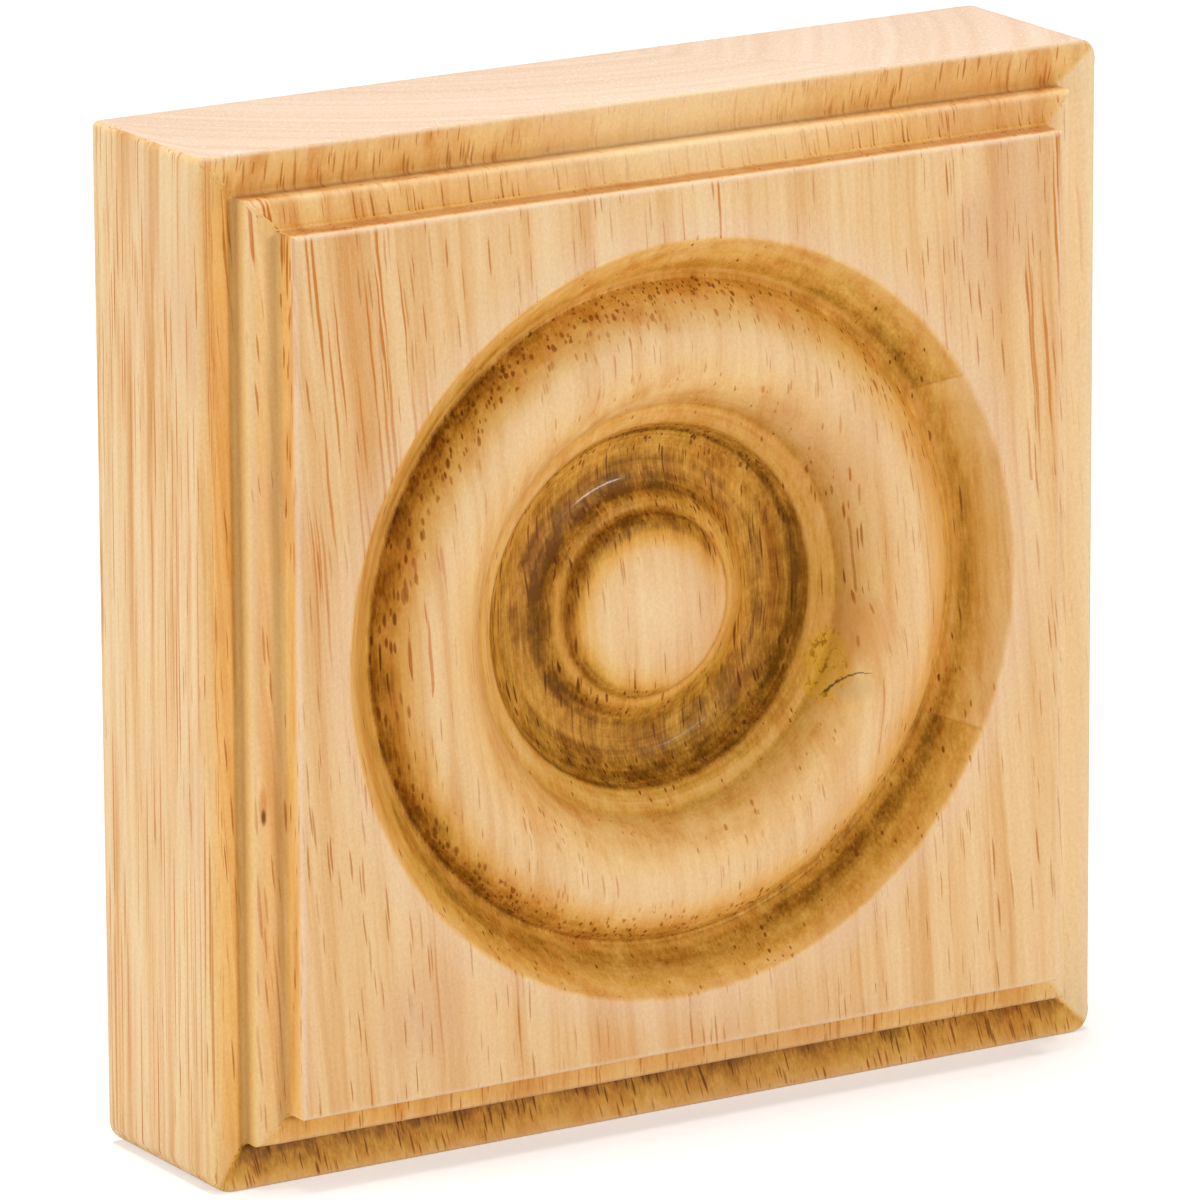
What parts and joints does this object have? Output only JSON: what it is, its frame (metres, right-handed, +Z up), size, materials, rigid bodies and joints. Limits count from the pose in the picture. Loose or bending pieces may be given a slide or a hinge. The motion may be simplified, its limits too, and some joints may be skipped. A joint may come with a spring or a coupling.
{
  "type": "corner rosette block",
  "caption": "Square wooden trim block with a stepped moulded border and a turned bull's-eye rosette, set where door or window casings meet at a corner.",
  "frame": {"origin": "centre of the flat back face, which lies against the wall", "axes": "+Z up along the grain, +Y out of the back face towards the wall, so the rosette faces -Y, and +X to the right seen from the front"},
  "size_m": [0.0888, 0.0222, 0.0888],
  "materials": {
    "lacquered_wood": "pale straight-grained hardwood with a clear satin lacquer"
  },
  "bodies": {
    "root": {"rosette_block": "lacquered_wood"}
  },
  "joints": []
}
